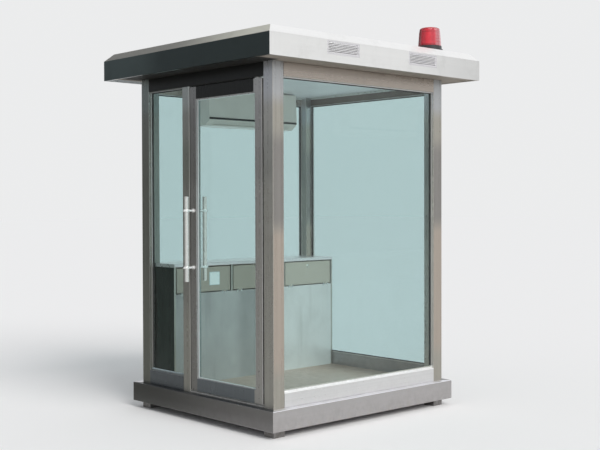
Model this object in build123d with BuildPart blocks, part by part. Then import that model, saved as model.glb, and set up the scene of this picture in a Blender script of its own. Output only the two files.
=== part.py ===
from build123d import *
import os
from math import radians, tan

# Security guard booth in stainless steel and glass, in millimetres.
# +X is the side with the large fixed window and +Z is up.
# The door faces -Y. The origin is on the ground, at the middle of the booth.

# Frame
frame_width = 1500          # X, outside of the posts
frame_depth = 1700          # Y, outside of the posts
post = 95                   # side of the square posts
rail_depth = 38             # rails, headers and mullion, in from the posts' outer faces
tube_wall = 3
corner_radius = 4           # outside corners of every tube
foot_height = 50
foot_wall = 5
foot_sole = 6               # plate that closes each foot
plinth_height = 138
plinth_ledge = 52           # how far the plinth stands out from the posts
plinth_wall = 5
rail_height = 102           # bottom rails, above the plinth
header_height = 95
headroom = 2179             # from the plinth to the headers

# Floor
floor_thickness = 3
sheet_clearance = 0.3       # around the floor and ceiling sheets
joist_count = 3
joist_width = 40
joist_height = 80

# Roof
roof_overhang = 200         # beyond the posts, all round
roof_sheet = 3
fascia_height = 146
bevel = 54                  # both in and up
lip_width = 22              # return lip under the fascia
ceiling_thickness = 12
ceiling_drop = 18           # from the soffit to the ceiling panel's top

# Vent grilles
vent_length = 304
vent_height = 92
vent_spacing = 800          # between the middles of the two on one side
vent_plate = 2
vent_rim = 10
vent_blades = 7
vent_blade_tilt = 35
vent_blade_sheet = 1.6
vent_blade_share = 0.9      # of the pitch that each blade covers
vent_clearance = 1          # around the collar, in the fascia
vent_top_margin = 4         # from the fold of the bevel

# Beacon
beacon_from_right = 156     # from the roof's edges to its middle
beacon_from_back = 392
beacon_flange = 196
beacon_flange_height = 10
beacon_body = 178
beacon_base_height = 32
beacon_side_count = 36      # upright flats moulded round the base and the lens
lens_bottom = 172
lens_height = 138
lens_taper = 4              # slope of the lens's side, in degrees
lens_crown = 14             # height and width of the slope round the top
lens_wall = 3
lens_ring = 108             # height of the ring where the lens narrows
lens_step = 2
lamp_width = 60
lamp_side_count = 8
lamp_height = 78

# Glazing
glass_thickness = 8
glass_setback = 28          # from the posts' outer face to the glass
glass_clearance = 3         # around the edge of each pane
bead_width = 8
bead_depth = 12             # outside the glass

# Door
mullion_width = 82
sidelight_width = 419
door_gap_lock = 8           # leaf to mullion
door_gap_pivot = 16         # leaf to post
door_gap_top = 8
door_gap_bottom = 8
threshold_height = 10
leaf_thickness = 40
leaf_setback = 2
stile_width = 70
door_rail_height = 88
groove_depth = 10
groove_clearance = 0.3      # each side of the door's glass
pivot_inset = 60            # from the leaf's edge to the pivot
pivot_pin = 20
pivot_pin_length = 20       # inside the leaf
pivot_clearance = 0.4
pivot_end_gap = 1           # from the pin's end to the end of its bore
pivot_collar = 44
pivot_collar_height = 3

# Door handles
handle_diameter = 30
handle_length = 600
handle_bottom = 983         # above the ground
handle_centres = 403        # between the standoffs
handle_reach = 60           # from the leaf's face to the bar's middle
standoff_diameter = 16
standoff_tip = 10           # beyond the bar
rosette_diameter = 32
rosette_thickness = 4

# Desk
desk_depth = 312            # from the left rail to the flaps
desk_height = 899           # from the floor to the top of the desk
desk_clearance = 1          # from the desk to the rails and posts round it
desk_top_thickness = 25
desk_nose = 5
desk_nose_radius = 4
desk_sheet = 6              # shelf and back
desk_board = 17             # ends and partitions
desk_panel_thickness = 18
compartment_height = 199
flap_gap_side = 8
flap_gap_top = 7
flap_gap_bottom = 7
flap_thickness = 18
flap_pan_wall = 2
flap_edge = 1.5
bays = 3

# Flap hinges and locks
hinge_radius = 4
hinge_pin_radius = 1.8
hinge_bore_radius = 2.3
hinge_side_count = 16       # flats round each rolled knuckle and its bore
pin_side_count = 8
hinge_length = 50
hinge_knuckle = 18          # middle knuckle, on the flap
hinge_knuckle_gap = 0.5
hinge_leaf = 1.5
hinge_leaf_height = 14
hinge_inset = 74            # from the partition's middle to the hinge's middle
lock_diameter = 22
lock_proud = 4
lock_drop = 38              # from the flap's top edge
lock_slot = 2.5

# Wall air conditioner
ac_length = 905
ac_depth = 212
ac_height = 290
ac_middle_y = 52
ac_drop = 36                # below the soffit
ac_chin = 44                # height of the sloping outlet face
ac_front_slope = 16
ac_radius = 18
ac_outlet_inset = 60
ac_outlet_width = 44        # across the sloping face
ac_outlet_depth = 30
vane_thickness = 5
vane_setback = 2
vane_gap = 3

# Worked out from the sizes above
half_width = frame_width / 2
half_depth = frame_depth / 2
inner_x = half_width - post
inner_y = half_depth - post
post_x = half_width - post / 2
post_y = half_depth - post / 2
room_x = half_width - rail_depth
room_y = half_depth - rail_depth
plinth_top = foot_height + plinth_height
floor_top = plinth_top + floor_thickness
rail_top = plinth_top + rail_height
header_bottom = plinth_top + headroom
soffit_z = header_bottom + header_height
post_height = soffit_z - plinth_top
plinth_width = plinth_ledge + post
plinth_half_x = half_width + plinth_ledge
plinth_half_y = half_depth + plinth_ledge
roof_half_x = half_width + roof_overhang
roof_half_y = half_depth + roof_overhang
fascia_bottom = soffit_z - roof_sheet
roof_top = fascia_bottom + fascia_height + bevel
vent_middle_z = fascia_bottom + fascia_height - vent_top_margin - vent_height / 2
vent_open_length = vent_length - 2 * vent_rim
vent_open_height = vent_height - 2 * vent_rim
vent_hole = vent_plate + vent_clearance
beacon_x = roof_half_x - beacon_from_right
beacon_y = roof_half_y - beacon_from_back
bottom_up = (Align.CENTER, Align.CENTER, Align.MIN)
top_down = (Align.CENTER, Align.CENTER, Align.MAX)

sidelight_left = -inner_x
mullion_left = sidelight_left + sidelight_width
mullion_right = mullion_left + mullion_width
sidelight_middle = (sidelight_left + mullion_left) / 2
leaf_left = mullion_right + door_gap_lock
leaf_right = inner_x - door_gap_pivot
leaf_width = leaf_right - leaf_left
leaf_bottom = plinth_top + threshold_height + door_gap_bottom
leaf_top = header_bottom - door_gap_top
leaf_height = leaf_top - leaf_bottom
leaf_middle_x = (leaf_left + leaf_right) / 2
leaf_front = -half_depth + leaf_setback
leaf_middle_y = leaf_front + leaf_thickness / 2
pivot_x = leaf_right - pivot_inset

desk_back = -room_x + desk_clearance
desk_front = -room_x + desk_depth
desk_under = floor_top + desk_height - desk_top_thickness
shelf_top = desk_under - compartment_height
desk_reach = 2 * (room_y - desk_clearance)
desk_inner = desk_reach - 2 * desk_board
bay_width = (desk_inner - (bays - 1) * desk_board) / bays
bay_pitch = bay_width + desk_board
bay_middles = [(i - (bays - 1) / 2) * bay_pitch for i in range(bays)]
flap_width = bay_width - 2 * flap_gap_side
flap_bottom = shelf_top + flap_gap_bottom
flap_top = desk_under - flap_gap_top
hinge_x = desk_front + hinge_radius
hinge_z = flap_bottom - hinge_radius / 2


def save(piece, name):
    """Label a finished piece and write it as its own STEP file."""
    piece.part.label = name
    export_step(piece.part, f"parts/{name}.step")


def square_tube(plane, across, up, length):
    """A tube on a plane, as long to each side of the plane."""
    with BuildPart() as tube:
        with BuildSketch(plane):
            RectangleRounded(across, up, corner_radius)
            Rectangle(across - 2 * tube_wall, up - 2 * tube_wall, mode=Mode.SUBTRACT)
        extrude(amount=length / 2, both=True)
    return tube


def along_x(y, z):
    """Plane across a tube that runs along X, its own x axis along Y."""
    return Plane(origin=(0, y, z), x_dir=(0, 1, 0), z_dir=(1, 0, 0))


def along_y(x, z):
    """Plane across a tube that runs along Y, its own x axis along X."""
    return Plane(origin=(x, 0, z), x_dir=(1, 0, 0), z_dir=(0, -1, 0))


def cut_round_posts(clearance):
    """Cut the four posts, with a clearance, out of the sketch being drawn."""
    with GridLocations(2 * post_x, 2 * post_y, 2, 2):
        Rectangle(post + 2 * clearance, post + 2 * clearance, mode=Mode.SUBTRACT)


def make_posts():
    places = {
        "post_front_right": (post_x, -post_y),
        "post_front_left": (-post_x, -post_y),
        "post_back_right": (post_x, post_y),
        "post_back_left": (-post_x, post_y),
    }
    for name, (x, y) in places.items():
        middle = Plane(origin=(x, y, plinth_top + post_height / 2))
        save(square_tube(middle, post, post, post_height), name)


def make_feet():
    foot_inner = post - 2 * foot_wall
    with BuildPart() as feet:
        with GridLocations(2 * post_x, 2 * post_y, 2, 2):
            Box(post, post, foot_height, align=bottom_up)
        with Locations((0, 0, foot_sole)):
            with GridLocations(2 * post_x, 2 * post_y, 2, 2):
                Box(foot_inner, foot_inner, foot_height, align=bottom_up, mode=Mode.SUBTRACT)
    save(feet, "feet")


def plinth_side(section, far, near, half_far, turn):
    """One mitred box beam of the plinth, cut to a trapezoid in plan."""
    half_near = half_far - plinth_width
    with BuildPart() as side:
        with BuildSketch(section):
            RectangleRounded(plinth_width, plinth_height, corner_radius)
            Rectangle(
                plinth_width - 2 * plinth_wall,
                plinth_height - 2 * plinth_wall,
                mode=Mode.SUBTRACT,
            )
        extrude(amount=half_far, both=True)
        with BuildSketch(Plane.XY.offset(foot_height)):
            with BuildLine():
                corners = [(-half_far, far), (half_far, far), (half_near, near), (-half_near, near)]
                if turn:
                    corners = [(y, x) for x, y in corners]
                Polyline(*corners, close=True)
            make_face()
        extrude(amount=plinth_height, mode=Mode.INTERSECT)
    return side


def make_plinth():
    middle_z = foot_height + plinth_height / 2
    middle_x = plinth_half_x - plinth_width / 2
    middle_y = plinth_half_y - plinth_width / 2
    for name, sign in (("plinth_front", -1), ("plinth_back", 1)):
        section = along_x(sign * middle_y, middle_z)
        side = plinth_side(section, sign * plinth_half_y, sign * inner_y, plinth_half_x, False)
        save(side, name)
    for name, sign in (("plinth_left", -1), ("plinth_right", 1)):
        section = along_y(sign * middle_x, middle_z)
        side = plinth_side(section, sign * plinth_half_x, sign * inner_x, plinth_half_y, True)
        save(side, name)


def make_floor():
    with BuildPart() as floor:
        with BuildSketch(Plane.XY.offset(plinth_top)):
            Rectangle(2 * (room_x - sheet_clearance), 2 * (room_y - sheet_clearance))
            cut_round_posts(sheet_clearance)
        extrude(amount=floor_thickness)
    save(floor, "floor_plate")

    with BuildPart() as joists:
        with BuildSketch(along_x(0, plinth_top - joist_height / 2)):
            with GridLocations(2 * inner_y / (joist_count + 1), 0, joist_count, 1):
                Rectangle(joist_width, joist_height)
                Rectangle(joist_width - 2 * tube_wall, joist_height - 2 * tube_wall, mode=Mode.SUBTRACT)
        extrude(amount=inner_x, both=True)
    save(joists, "floor_joists")


def make_rails_and_headers():
    rail_z = plinth_top + rail_height / 2
    header_z = header_bottom + header_height / 2
    middle_x = half_width - rail_depth / 2
    middle_y = half_depth - rail_depth / 2
    for name, x in (("right", middle_x), ("left", -middle_x)):
        save(square_tube(along_y(x, rail_z), rail_depth, rail_height, 2 * inner_y), f"rail_{name}")
        save(square_tube(along_y(x, header_z), rail_depth, header_height, 2 * inner_y), f"header_{name}")
    for name, y in (("front", -middle_y), ("back", middle_y)):
        save(square_tube(along_x(y, header_z), rail_depth, header_height, 2 * inner_x), f"header_{name}")
    save(square_tube(along_x(middle_y, rail_z), rail_depth, rail_height, 2 * inner_x), "rail_back")
    section = Plane(origin=(sidelight_middle, -middle_y, rail_z), x_dir=(0, 1, 0), z_dir=(1, 0, 0))
    save(square_tube(section, rail_depth, rail_height, sidelight_width), "rail_sidelight")


def make_mullion():
    height = header_bottom - plinth_top
    middle = Plane(
        origin=((mullion_left + mullion_right) / 2, -half_depth + rail_depth / 2, plinth_top + height / 2),
    )
    save(square_tube(middle, mullion_width, rail_depth, height), "mullion")


def make_threshold():
    length = inner_x - mullion_right
    with BuildPart() as threshold:
        with Locations(((inner_x + mullion_right) / 2, -half_depth + rail_depth / 2, plinth_top)):
            Box(length, rail_depth, threshold_height, align=bottom_up)
        top_edges = threshold.edges().filter_by(Axis.X).group_by(Axis.Z)[-1]
        chamfer(top_edges, length=threshold_height / 3)
    save(threshold, "threshold")


def windows():
    """Each fixed window: its plane on the glass's outer face, its width and its height."""
    height = header_bottom - rail_top
    z = rail_top + height / 2
    x = half_width - glass_setback
    y = half_depth - glass_setback
    return {
        "glass_right": (Plane(origin=(x, 0, z), x_dir=(0, 1, 0), z_dir=(1, 0, 0)), 2 * inner_y, height),
        "glass_left": (Plane(origin=(-x, 0, z), x_dir=(0, -1, 0), z_dir=(-1, 0, 0)), 2 * inner_y, height),
        "glass_back": (Plane(origin=(0, y, z), x_dir=(-1, 0, 0), z_dir=(0, 1, 0)), 2 * inner_x, height),
        "glass_sidelight": (
            Plane(origin=(sidelight_middle, -y, z), x_dir=(1, 0, 0), z_dir=(0, -1, 0)),
            sidelight_width,
            height,
        ),
    }


def make_windows():
    for name, (plane, width, height) in windows().items():
        with BuildPart() as pane:
            with BuildSketch(plane):
                Rectangle(width - 2 * glass_clearance, height - 2 * glass_clearance)
            extrude(amount=-glass_thickness)
        save(pane, name)
    inner_depth = rail_depth - glass_setback - glass_thickness
    with BuildPart() as beads:
        for plane, width, height in windows().values():
            for seat, depth in ((plane, bead_depth), (plane.offset(-glass_thickness), -inner_depth)):
                with BuildSketch(seat):
                    Rectangle(width, height)
                    Rectangle(width - 2 * bead_width, height - 2 * bead_width, mode=Mode.SUBTRACT)
                extrude(amount=depth)
    save(beads, "glazing_beads")


def make_roof():
    with BuildPart() as cap:
        with Locations((0, 0, fascia_bottom)):
            Box(2 * roof_half_x, 2 * roof_half_y, fascia_height + bevel, align=bottom_up)
        chamfer(cap.faces().sort_by(Axis.Z)[-1].edges(), length=bevel)
        underside = cap.faces().sort_by(Axis.Z)[0]
        offset(amount=-roof_sheet, openings=underside, kind=Kind.INTERSECTION)
        with BuildSketch(Plane.XY.offset(fascia_bottom)):
            Rectangle(2 * roof_half_x, 2 * roof_half_y)
            Rectangle(2 * (roof_half_x - lip_width), 2 * (roof_half_y - lip_width), mode=Mode.SUBTRACT)
        extrude(amount=roof_sheet)
        with BuildSketch(Plane(origin=(0, 0, vent_middle_z), x_dir=(0, 1, 0), z_dir=(1, 0, 0))):
            with GridLocations(vent_spacing, 0, 2, 1):
                Rectangle(vent_open_length + 2 * vent_hole, vent_open_height + 2 * vent_hole)
        extrude(amount=roof_half_x, both=True, mode=Mode.SUBTRACT)
    save(cap, "roof_cap")

    with BuildPart() as soffit:
        with Locations((0, 0, soffit_z)):
            Box(2 * (roof_half_x - roof_sheet), 2 * (roof_half_y - roof_sheet), roof_sheet, align=bottom_up)
    save(soffit, "soffit")

    with BuildPart() as ceiling:
        with BuildSketch(Plane.XY.offset(soffit_z - ceiling_drop)):
            Rectangle(2 * (room_x - sheet_clearance), 2 * (room_y - sheet_clearance))
            cut_round_posts(sheet_clearance)
        extrude(amount=-ceiling_thickness)
    save(ceiling, "ceiling")


def make_vents():
    """Four louvred grilles, two on each side's fascia: a rim, a collar through the fascia and blades."""
    pitch = vent_open_height / vent_blades
    blade_drop = pitch * vent_blade_share
    blade_depth = blade_drop / tan(radians(vent_blade_tilt))
    with BuildPart() as grilles:
        for side in (1, -1):
            face = Plane(origin=(side * roof_half_x, 0, vent_middle_z), x_dir=(0, 1, 0), z_dir=(side, 0, 0))
            with BuildSketch(face):
                with GridLocations(vent_spacing, 0, 2, 1):
                    Rectangle(vent_length, vent_height)
                    Rectangle(vent_open_length, vent_open_height, mode=Mode.SUBTRACT)
            extrude(amount=vent_plate)
            with BuildSketch(face):
                with GridLocations(vent_spacing, 0, 2, 1):
                    Rectangle(vent_open_length + 2 * vent_plate, vent_open_height + 2 * vent_plate)
                    Rectangle(vent_open_length, vent_open_height, mode=Mode.SUBTRACT)
            extrude(amount=-blade_depth)
            outer_edge = side * roof_half_x
            inner_edge = side * (roof_half_x - blade_depth + vent_blade_sheet)
            for i in range(vent_blades):
                low = vent_middle_z - vent_open_height / 2 + i * pitch + vent_blade_sheet / 2
                for middle in (-vent_spacing / 2, vent_spacing / 2):
                    with BuildSketch(Plane(origin=(0, middle, 0), x_dir=(1, 0, 0), z_dir=(0, -1, 0))):
                        with BuildLine():
                            Polyline(
                                (outer_edge, low),
                                (outer_edge, low + vent_blade_sheet),
                                (inner_edge, low + blade_drop + vent_blade_sheet),
                                (inner_edge, low + blade_drop),
                                close=True,
                            )
                        make_face()
                    extrude(amount=vent_open_length / 2, both=True)
    save(grilles, "vent_grilles")


def beacon_plane(height):
    """Level plane on the beacon's axis."""
    return Plane(origin=(beacon_x, beacon_y, height))


def make_beacon():
    with BuildPart() as base:
        with BuildSketch(beacon_plane(roof_top)):
            RegularPolygon(beacon_flange / 2, beacon_side_count)
        extrude(amount=beacon_flange_height)
        with BuildSketch(beacon_plane(roof_top)):
            RegularPolygon(beacon_body / 2, beacon_side_count)
        extrude(amount=beacon_base_height)
    save(base, "beacon_base")

    lens_z = roof_top + beacon_base_height
    slope = tan(radians(lens_taper))
    ring_radius = lens_bottom / 2 - lens_ring * slope - lens_step
    crown_z = lens_height - lens_crown
    crown_radius = ring_radius - (crown_z - lens_ring) * slope
    with BuildPart() as lens:
        with BuildSketch(beacon_plane(lens_z)):
            RegularPolygon(lens_bottom / 2, beacon_side_count)
        extrude(amount=lens_ring, taper=lens_taper)
        with BuildSketch(beacon_plane(lens_z + lens_ring)):
            RegularPolygon(ring_radius, beacon_side_count)
        extrude(amount=crown_z - lens_ring, taper=lens_taper)
        with BuildSketch(beacon_plane(lens_z + crown_z)):
            RegularPolygon(crown_radius, beacon_side_count)
        extrude(amount=lens_crown, taper=45)
        with BuildSketch(beacon_plane(lens_z)):
            RegularPolygon(lens_bottom / 2 - lens_wall - lens_step, beacon_side_count)
        extrude(amount=crown_z, taper=lens_taper, mode=Mode.SUBTRACT)
    save(lens, "beacon_lens")

    with BuildPart() as lamp:
        with BuildSketch(beacon_plane(lens_z)):
            RegularPolygon(lamp_width / 2, lamp_side_count)
        extrude(amount=lamp_height)
    save(lamp, "beacon_lamp")


def make_door():
    opening_width = leaf_width - 2 * stile_width
    opening_height = leaf_height - 2 * door_rail_height
    middle_z = (leaf_bottom + leaf_top) / 2
    face = Plane(origin=(leaf_middle_x, leaf_middle_y, middle_z), x_dir=(1, 0, 0), z_dir=(0, -1, 0))
    with BuildPart() as leaf:
        with BuildSketch(face):
            Rectangle(leaf_width, leaf_height)
            Rectangle(opening_width, opening_height, mode=Mode.SUBTRACT)
        extrude(amount=leaf_thickness / 2, both=True)
        chamfer(leaf.edges().filter_by(Axis.Z), length=flap_edge)
        with BuildSketch(face):
            Rectangle(opening_width + 2 * groove_depth, opening_height + 2 * groove_depth)
        extrude(amount=glass_thickness / 2 + groove_clearance, both=True, mode=Mode.SUBTRACT)
        with Locations((pivot_x, leaf_middle_y, leaf_bottom)):
            Cylinder(pivot_pin / 2 + pivot_clearance, pivot_pin_length, align=bottom_up, mode=Mode.SUBTRACT)
        with Locations((pivot_x, leaf_middle_y, leaf_top)):
            Cylinder(pivot_pin / 2 + pivot_clearance, pivot_pin_length, align=top_down, mode=Mode.SUBTRACT)
    save(leaf, "door_frame")

    with BuildPart() as pane:
        with BuildSketch(face):
            Rectangle(opening_width + 2 * groove_depth, opening_height + 2 * groove_depth)
        extrude(amount=glass_thickness / 2, both=True)
    save(pane, "door_glass")

    with BuildPart() as pivots:
        with Locations((pivot_x, leaf_middle_y, plinth_top + threshold_height)):
            Cylinder(pivot_collar / 2, pivot_collar_height, align=bottom_up)
            Cylinder(pivot_pin / 2, door_gap_bottom + pivot_pin_length - pivot_end_gap, align=bottom_up)
        with Locations((pivot_x, leaf_middle_y, header_bottom)):
            Cylinder(pivot_collar / 2, pivot_collar_height, align=top_down)
            Cylinder(pivot_pin / 2, door_gap_top + pivot_pin_length - pivot_end_gap, align=top_down)
    save(pivots, "door_pivots")


def make_handles():
    """A long round bar on each face of the leaf, with two standoffs that run through the bar."""
    handle_x = leaf_left + stile_width / 2
    middle_z = handle_bottom + handle_length / 2
    for name, side in (("handle_outside", -1), ("handle_inside", 1)):
        face_y = leaf_middle_y + side * leaf_thickness / 2
        bar_y = face_y + side * handle_reach
        with BuildPart() as handle:
            with Locations((handle_x, bar_y, middle_z)):
                Cylinder(handle_diameter / 2, handle_length)
            mount_face = Plane(origin=(handle_x, face_y, middle_z), x_dir=(1, 0, 0), z_dir=(0, side, 0))
            with BuildSketch(mount_face):
                with GridLocations(0, handle_centres, 1, 2):
                    Circle(standoff_diameter / 2)
            extrude(amount=handle_reach + handle_diameter / 2 + standoff_tip)
            with BuildSketch(mount_face):
                with GridLocations(0, handle_centres, 1, 2):
                    Circle(rosette_diameter / 2)
            extrude(amount=rosette_thickness)
        save(handle, name)


def make_desk():
    depth = desk_front - desk_back
    with BuildPart() as top:
        with BuildSketch(Plane.XY.offset(desk_under)):
            with Locations((desk_back, 0)):
                Rectangle(depth + desk_nose, desk_reach, align=(Align.MIN, Align.CENTER))
            cut_round_posts(desk_clearance)
        extrude(amount=desk_top_thickness)
        fillet(top.edges().filter_by(Axis.Y).group_by(Axis.X)[-1], radius=desk_nose_radius)
    save(top, "desk_top")

    end_depth = desk_front + inner_x - desk_clearance
    with BuildPart() as carcass:
        with BuildSketch(Plane.YZ.offset(desk_back)):
            with Locations((0, floor_top)):
                Rectangle(
                    2 * (inner_y - desk_clearance),
                    desk_under - floor_top,
                    align=(Align.CENTER, Align.MIN),
                )
        extrude(amount=desk_sheet)
        with BuildSketch(Plane.YZ.offset(desk_front)):
            with Locations((0, (floor_top + desk_under) / 2)):
                with GridLocations(desk_reach - desk_board, 0, 2, 1):
                    Rectangle(desk_board, desk_under - floor_top)
        extrude(amount=-end_depth)
        with BuildSketch(Plane.YZ.offset(desk_front)):
            with Locations((0, (shelf_top + desk_under) / 2)):
                with GridLocations(bay_pitch, 0, bays - 1, 1):
                    Rectangle(desk_board, compartment_height)
        extrude(amount=-depth)
        with BuildSketch(Plane.XY.offset(shelf_top)):
            with Locations((desk_back, 0)):
                Rectangle(depth - desk_panel_thickness, desk_inner, align=(Align.MIN, Align.CENTER))
            cut_round_posts(desk_clearance)
        extrude(amount=-desk_sheet)
    save(carcass, "desk_carcass")

    with BuildPart() as panel:
        with BuildSketch(Plane.YZ.offset(desk_front)):
            with Locations((0, floor_top)):
                Rectangle(desk_inner, shelf_top - floor_top, align=(Align.CENTER, Align.MIN))
        extrude(amount=-desk_panel_thickness)
    save(panel, "desk_panel")


def make_flaps():
    """Drop-front flaps: folded pans, hinged along their bottom edge, with a lock at the top."""
    names = ("flap_front", "flap_middle", "flap_back")
    hinge_side = bay_pitch / 2 - hinge_inset
    knuckle_line = Plane(origin=(hinge_x, 0, hinge_z), x_dir=(1, 0, 0), z_dir=(0, -1, 0))
    for name, middle in zip(names, bay_middles):
        with BuildPart() as flap:
            with Locations((desk_front, middle, flap_bottom)):
                Box(
                    flap_thickness,
                    flap_width,
                    flap_top - flap_bottom,
                    align=(Align.MAX, Align.CENTER, Align.MIN),
                )
            chamfer(flap.faces().sort_by(Axis.X)[-1].edges(), length=flap_edge)
            offset(
                amount=-flap_pan_wall,
                openings=flap.faces().sort_by(Axis.X)[0],
                kind=Kind.INTERSECTION,
            )
            with BuildSketch(Plane.YZ.offset(desk_front - flap_pan_wall)):
                with Locations((middle, flap_top - lock_drop)):
                    Circle(lock_diameter / 2)
            extrude(amount=flap_pan_wall + lock_proud)
            with BuildSketch(Plane.YZ.offset(desk_front + lock_proud)):
                with Locations((middle, flap_top - lock_drop)):
                    Rectangle(lock_slot, lock_diameter / 2)
            extrude(amount=-lock_proud / 2, mode=Mode.SUBTRACT)
            for place in (middle - hinge_side, middle + hinge_side):
                with Locations((desk_front, place, hinge_z)):
                    Box(
                        hinge_leaf,
                        hinge_knuckle,
                        hinge_leaf_height,
                        align=(Align.MIN, Align.CENTER, Align.MIN),
                    )
                with BuildSketch(knuckle_line.offset(-place)):
                    RegularPolygon(hinge_radius, hinge_side_count)
                extrude(amount=hinge_knuckle / 2, both=True)
                with BuildSketch(knuckle_line.offset(-place)):
                    RegularPolygon(hinge_bore_radius, hinge_side_count)
                extrude(amount=hinge_knuckle / 2, both=True, mode=Mode.SUBTRACT)
        save(flap, name)

    side_length = (hinge_length - hinge_knuckle) / 2 - hinge_knuckle_gap
    with BuildPart() as hinges:
        for middle in bay_middles:
            for place in (middle - hinge_side, middle + hinge_side):
                with BuildSketch(knuckle_line.offset(-place)):
                    RegularPolygon(hinge_pin_radius, pin_side_count)
                extrude(amount=hinge_length / 2, both=True)
                for side in (-1, 1):
                    knuckle_middle = place + side * (hinge_length - side_length) / 2
                    with BuildSketch(knuckle_line.offset(-knuckle_middle)):
                        RegularPolygon(hinge_radius, hinge_side_count)
                    extrude(amount=side_length / 2, both=True)
                    with Locations((desk_front, knuckle_middle, hinge_z)):
                        Box(
                            hinge_leaf,
                            side_length,
                            hinge_leaf_height,
                            align=(Align.MIN, Align.CENTER, Align.MAX),
                        )
    save(hinges, "flap_hinges")


def make_air_conditioner():
    back = -room_x
    front = back + ac_depth
    top = soffit_z - ac_drop
    bottom = top - ac_height
    across = Plane(origin=(0, ac_middle_y, 0), x_dir=(1, 0, 0), z_dir=(0, -1, 0))
    chin_run = ac_chin + ac_front_slope
    chin = Plane(
        origin=(front - chin_run / 2, ac_middle_y, bottom + ac_chin / 2),
        x_dir=(chin_run, 0, ac_chin),
        z_dir=(ac_chin, 0, -chin_run),
    )
    with BuildPart() as body:
        with BuildSketch(across):
            with BuildLine():
                Polyline(
                    (back, bottom),
                    (front - chin_run, bottom),
                    (front, bottom + ac_chin),
                    (front - ac_front_slope / 2, top),
                    (back, top),
                    close=True,
                )
            profile = make_face()
            fillet(profile.vertices().sort_by(Axis.X)[2:], radius=ac_radius)
        extrude(amount=ac_length / 2, both=True)
        with BuildSketch(chin):
            Rectangle(ac_outlet_width, ac_length - 2 * ac_outlet_inset)
        extrude(amount=-ac_outlet_depth, mode=Mode.SUBTRACT)
    save(body, "ac_body")

    with BuildPart() as vane:
        with BuildSketch(chin.offset(-vane_setback)):
            Rectangle(ac_outlet_width - 2 * vane_gap, ac_length - 2 * ac_outlet_inset)
        extrude(amount=-vane_thickness)
        fillet(vane.edges().filter_by(Axis.Y), radius=vane_thickness / 3)
    save(vane, "ac_vane")


os.makedirs("parts", exist_ok=True)
make_posts()
make_feet()
make_plinth()
make_floor()
make_rails_and_headers()
make_mullion()
make_threshold()
make_windows()
make_roof()
make_vents()
make_beacon()
make_door()
make_handles()
make_desk()
make_flaps()
make_air_conditioner()
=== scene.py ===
"""The security guard booth: finishes for its parts, the fittings they leave out, a studio and a camera."""

import math

import bmesh
import bpy
from mathutils import Matrix, Vector


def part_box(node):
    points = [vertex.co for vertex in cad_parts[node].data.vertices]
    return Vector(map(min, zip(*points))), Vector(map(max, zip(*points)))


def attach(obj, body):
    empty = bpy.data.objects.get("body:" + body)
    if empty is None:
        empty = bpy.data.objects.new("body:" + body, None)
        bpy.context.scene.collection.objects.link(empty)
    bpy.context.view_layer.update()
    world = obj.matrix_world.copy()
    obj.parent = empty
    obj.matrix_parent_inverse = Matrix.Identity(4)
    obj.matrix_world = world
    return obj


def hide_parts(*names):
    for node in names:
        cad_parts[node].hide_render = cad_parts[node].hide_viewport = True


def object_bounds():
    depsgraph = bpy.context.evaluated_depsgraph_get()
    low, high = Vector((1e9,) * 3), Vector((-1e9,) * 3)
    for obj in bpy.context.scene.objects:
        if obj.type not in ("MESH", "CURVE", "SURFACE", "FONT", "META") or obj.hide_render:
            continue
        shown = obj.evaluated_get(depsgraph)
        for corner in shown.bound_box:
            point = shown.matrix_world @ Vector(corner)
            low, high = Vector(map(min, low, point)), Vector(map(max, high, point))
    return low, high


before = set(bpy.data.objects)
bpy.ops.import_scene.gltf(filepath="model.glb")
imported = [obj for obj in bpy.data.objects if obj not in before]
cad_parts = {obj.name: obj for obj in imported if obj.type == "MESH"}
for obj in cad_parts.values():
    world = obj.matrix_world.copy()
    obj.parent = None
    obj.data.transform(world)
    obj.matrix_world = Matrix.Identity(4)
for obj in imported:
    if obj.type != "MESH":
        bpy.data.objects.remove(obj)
cad_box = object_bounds()

bl_info = {
    "name": "Guard booth",
    "version": (1, 0, 0),
    "blender": (4, 5, 0),
    "location": "3D View > Sidebar > Guard booth",
    "description": "Dresses the packed guard booth with its finishes, gaskets and fittings",
    "category": "Object",
}

MM = 0.001
X, Y, Z = Vector((1, 0, 0)), Vector((0, 1, 0)), Vector((0, 0, 1))
PANES = {"right": X, "left": -X, "back": Y, "sidelight": -Y}
FLAPS = ("front", "middle", "back")
WHITE = (1.0, 1.0, 1.0, 1.0)
DULLED = (0.62, 0.62, 0.62, 1.0)


def length(name, text, default):
    """A size that a user may change, in metres."""
    return bpy.props.FloatProperty(name=name, description=text, default=default, precision=4, unit="LENGTH")


def colour(name, text, default):
    """A colour that a user may change."""
    return bpy.props.FloatVectorProperty(
        name=name, description=text, default=default, size=3, min=0, max=1, subtype="COLOR"
    )


class BoothSizes(bpy.types.PropertyGroup):
    """Sizes of the fittings that the solids leave to this file."""

    gasket_width: length("Gasket width", "Rubber that shows beside each bead", 6 * MM)
    gasket_height: length("Gasket height", "How far the rubber stands off the glass", 4.5 * MM)
    bead_width: length("Bead width", "Glazing bead of the fixed panes", 8 * MM)
    door_bead: length("Door bead", "Bead round the door's glass", 6 * MM)
    ceiling_trim: length("Ceiling trim", "Angle under the ceiling's edge", 15 * MM)
    sheet: length("Sheet", "Thickness of folded trim", 1.5 * MM)
    hinge_screw: length("Hinge screw head", "Across the hinges' screw heads", 5 * MM)
    card_width: length("Card width", "Plain card on the front flap", 99 * MM)
    card_height: length("Card height", "Plain card on the front flap", 101 * MM)


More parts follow.
